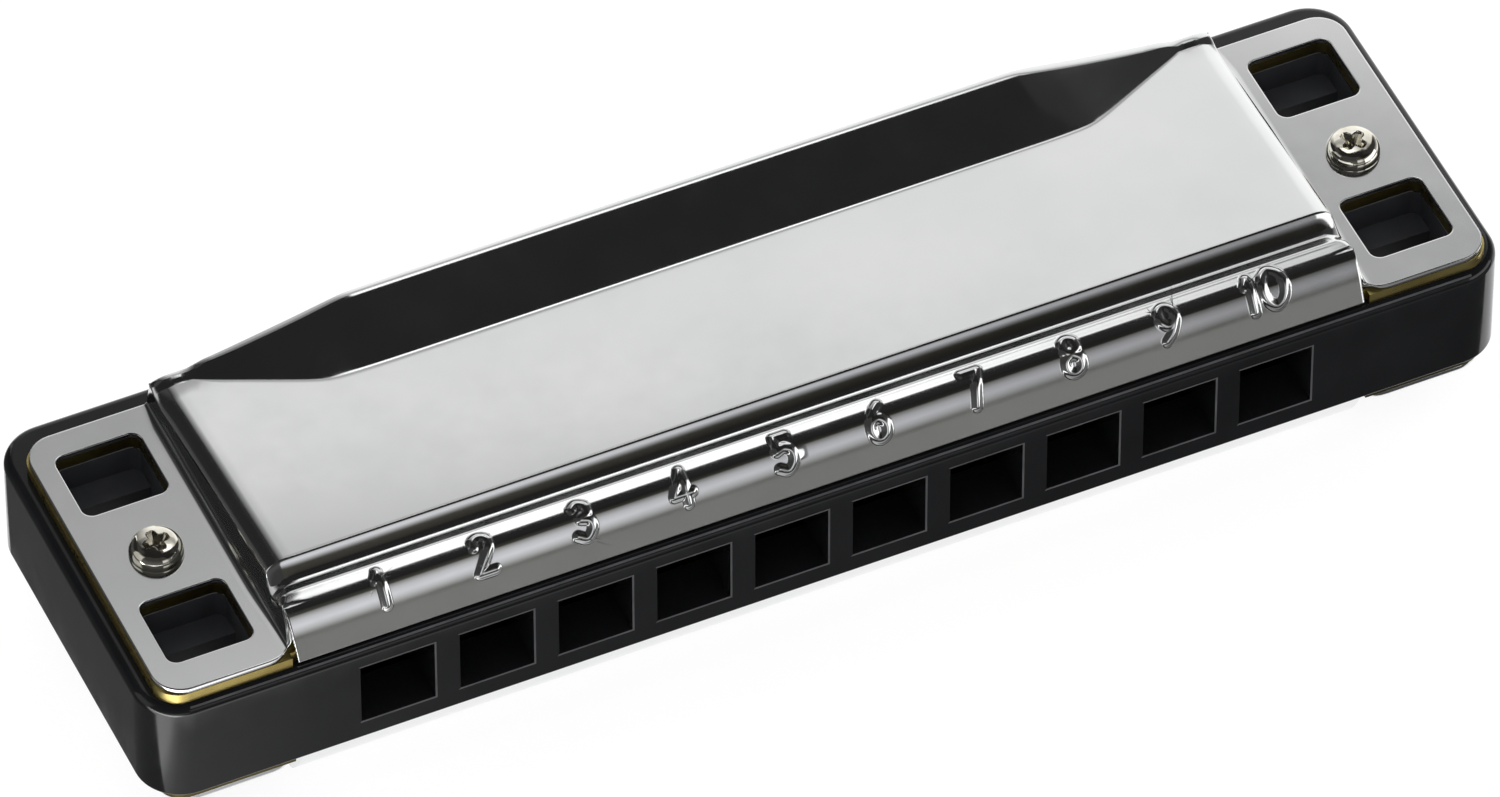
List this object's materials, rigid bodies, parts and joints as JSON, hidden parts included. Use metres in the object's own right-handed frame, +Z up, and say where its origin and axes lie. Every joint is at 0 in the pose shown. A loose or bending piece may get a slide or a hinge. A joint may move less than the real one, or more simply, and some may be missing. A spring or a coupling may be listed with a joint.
{
  "type": "diatonic harmonica",
  "caption": "Pocket harmonica: a slim moulded comb with a row of mouth holes between two reed plates, under pressed metal covers screwed through both ends.",
  "frame": {"origin": "below the centre of the comb, on the surface that the lower cover rests on", "axes": "+X along the length, from the low-note end (hole 1) to the high-note end; -Y towards the player's mouth; +Z up through the numbered cover"},
  "size_m": [0.1044, 0.0292, 0.02],
  "materials": {
    "black_plastic": "glossy moulded black",
    "plate_brass": "rolled, satin",
    "reed_brass": "milled",
    "cover_steel": "polished",
    "nickel": "bright nickel plate"
  },
  "bodies": {
    "frame": {"comb": "black_plastic", "upper_reed_plate": "plate_brass", "lower_reed_plate": "plate_brass", "blow_reed_pads": "reed_brass", "draw_reed_pads": "reed_brass", "blow_reed_rivets": "plate_brass", "draw_reed_rivets": "plate_brass", "upper_plate_screws": "plate_brass", "lower_plate_screws": "plate_brass", "upper_cover": "cover_steel", "lower_cover": "cover_steel", "cover_screws": "nickel", "cover_nuts": "nickel"},
    "blow_reed_1": {"blow_reed_1": "reed_brass"},
    "blow_reed_2": {"blow_reed_2": "reed_brass"},
    "blow_reed_3": {"blow_reed_3": "reed_brass"},
    "blow_reed_4": {"blow_reed_4": "reed_brass"},
    "blow_reed_5": {"blow_reed_5": "reed_brass"},
    "blow_reed_6": {"blow_reed_6": "reed_brass"},
    "blow_reed_7": {"blow_reed_7": "reed_brass"},
    "blow_reed_8": {"blow_reed_8": "reed_brass"},
    "blow_reed_9": {"blow_reed_9": "reed_brass"},
    "blow_reed_10": {"blow_reed_10": "reed_brass"},
    "draw_reed_1": {"draw_reed_1": "reed_brass"},
    "draw_reed_2": {"draw_reed_2": "reed_brass"},
    "draw_reed_3": {"draw_reed_3": "reed_brass"},
    "draw_reed_4": {"draw_reed_4": "reed_brass"},
    "draw_reed_5": {"draw_reed_5": "reed_brass"},
    "draw_reed_6": {"draw_reed_6": "reed_brass"},
    "draw_reed_7": {"draw_reed_7": "reed_brass"},
    "draw_reed_8": {"draw_reed_8": "reed_brass"},
    "draw_reed_9": {"draw_reed_9": "reed_brass"},
    "draw_reed_10": {"draw_reed_10": "reed_brass"}
  },
  "joints": [
    {"name": "blow_reed_1_swing", "type": "hinge", "parent": "frame", "child": "blow_reed_1", "pos_m": [-0.03375, -0.00624, 0.01425], "axis": [1, 0, 0], "range_deg": [-4, 4], "stiffness_Nm_per_rad": 0.00175},
    {"name": "blow_reed_2_swing", "type": "hinge", "parent": "frame", "child": "blow_reed_2", "pos_m": [-0.02625, -0.00624, 0.01425], "axis": [1, 0, 0], "range_deg": [-3.78, 3.78], "stiffness_Nm_per_rad": 0.00154},
    {"name": "blow_reed_3_swing", "type": "hinge", "parent": "frame", "child": "blow_reed_3", "pos_m": [-0.01875, -0.00624, 0.01425], "axis": [1, 0, 0], "range_deg": [-3.56, 3.56], "stiffness_Nm_per_rad": 0.00134},
    {"name": "blow_reed_4_swing", "type": "hinge", "parent": "frame", "child": "blow_reed_4", "pos_m": [-0.01125, -0.00624, 0.01425], "axis": [1, 0, 0], "range_deg": [-3.33, 3.33], "stiffness_Nm_per_rad": 0.00117},
    {"name": "blow_reed_5_swing", "type": "hinge", "parent": "frame", "child": "blow_reed_5", "pos_m": [-0.00375, -0.00624, 0.01425], "axis": [1, 0, 0], "range_deg": [-3.11, 3.11], "stiffness_Nm_per_rad": 0.001},
    {"name": "blow_reed_6_swing", "type": "hinge", "parent": "frame", "child": "blow_reed_6", "pos_m": [0.00375, -0.00624, 0.01425], "axis": [1, 0, 0], "range_deg": [-2.89, 2.89], "stiffness_Nm_per_rad": 0.000857},
    {"name": "blow_reed_7_swing", "type": "hinge", "parent": "frame", "child": "blow_reed_7", "pos_m": [0.01125, -0.00624, 0.01425], "axis": [1, 0, 0], "range_deg": [-2.67, 2.67], "stiffness_Nm_per_rad": 0.000726},
    {"name": "blow_reed_8_swing", "type": "hinge", "parent": "frame", "child": "blow_reed_8", "pos_m": [0.01875, -0.00624, 0.01425], "axis": [1, 0, 0], "range_deg": [-2.44, 2.44], "stiffness_Nm_per_rad": 0.000609},
    {"name": "blow_reed_9_swing", "type": "hinge", "parent": "frame", "child": "blow_reed_9", "pos_m": [0.02625, -0.00624, 0.01425], "axis": [1, 0, 0], "range_deg": [-2.22, 2.22], "stiffness_Nm_per_rad": 0.000505},
    {"name": "blow_reed_10_swing", "type": "hinge", "parent": "frame", "child": "blow_reed_10", "pos_m": [0.03375, -0.00624, 0.01425], "axis": [1, 0, 0], "range_deg": [-2, 2], "stiffness_Nm_per_rad": 0.000414},
    {"name": "draw_reed_1_swing", "type": "hinge", "parent": "frame", "child": "draw_reed_1", "pos_m": [-0.03375, -0.00624, 0.00445], "axis": [1, 0, 0], "range_deg": [-4, 4], "stiffness_Nm_per_rad": 0.00175},
    {"name": "draw_reed_2_swing", "type": "hinge", "parent": "frame", "child": "draw_reed_2", "pos_m": [-0.02625, -0.00624, 0.00445], "axis": [1, 0, 0], "range_deg": [-3.78, 3.78], "stiffness_Nm_per_rad": 0.00154},
    {"name": "draw_reed_3_swing", "type": "hinge", "parent": "frame", "child": "draw_reed_3", "pos_m": [-0.01875, -0.00624, 0.00445], "axis": [1, 0, 0], "range_deg": [-3.56, 3.56], "stiffness_Nm_per_rad": 0.00134},
    {"name": "draw_reed_4_swing", "type": "hinge", "parent": "frame", "child": "draw_reed_4", "pos_m": [-0.01125, -0.00624, 0.00445], "axis": [1, 0, 0], "range_deg": [-3.33, 3.33], "stiffness_Nm_per_rad": 0.00117},
    {"name": "draw_reed_5_swing", "type": "hinge", "parent": "frame", "child": "draw_reed_5", "pos_m": [-0.00375, -0.00624, 0.00445], "axis": [1, 0, 0], "range_deg": [-3.11, 3.11], "stiffness_Nm_per_rad": 0.001},
    {"name": "draw_reed_6_swing", "type": "hinge", "parent": "frame", "child": "draw_reed_6", "pos_m": [0.00375, -0.00624, 0.00445], "axis": [1, 0, 0], "range_deg": [-2.89, 2.89], "stiffness_Nm_per_rad": 0.000857},
    {"name": "draw_reed_7_swing", "type": "hinge", "parent": "frame", "child": "draw_reed_7", "pos_m": [0.01125, -0.00624, 0.00445], "axis": [1, 0, 0], "range_deg": [-2.67, 2.67], "stiffness_Nm_per_rad": 0.000726},
    {"name": "draw_reed_8_swing", "type": "hinge", "parent": "frame", "child": "draw_reed_8", "pos_m": [0.01875, -0.00624, 0.00445], "axis": [1, 0, 0], "range_deg": [-2.44, 2.44], "stiffness_Nm_per_rad": 0.000609},
    {"name": "draw_reed_9_swing", "type": "hinge", "parent": "frame", "child": "draw_reed_9", "pos_m": [0.02625, -0.00624, 0.00445], "axis": [1, 0, 0], "range_deg": [-2.22, 2.22], "stiffness_Nm_per_rad": 0.000505},
    {"name": "draw_reed_10_swing", "type": "hinge", "parent": "frame", "child": "draw_reed_10", "pos_m": [0.03375, -0.00624, 0.00445], "axis": [1, 0, 0], "range_deg": [-2, 2], "stiffness_Nm_per_rad": 0.000414}
  ]
}
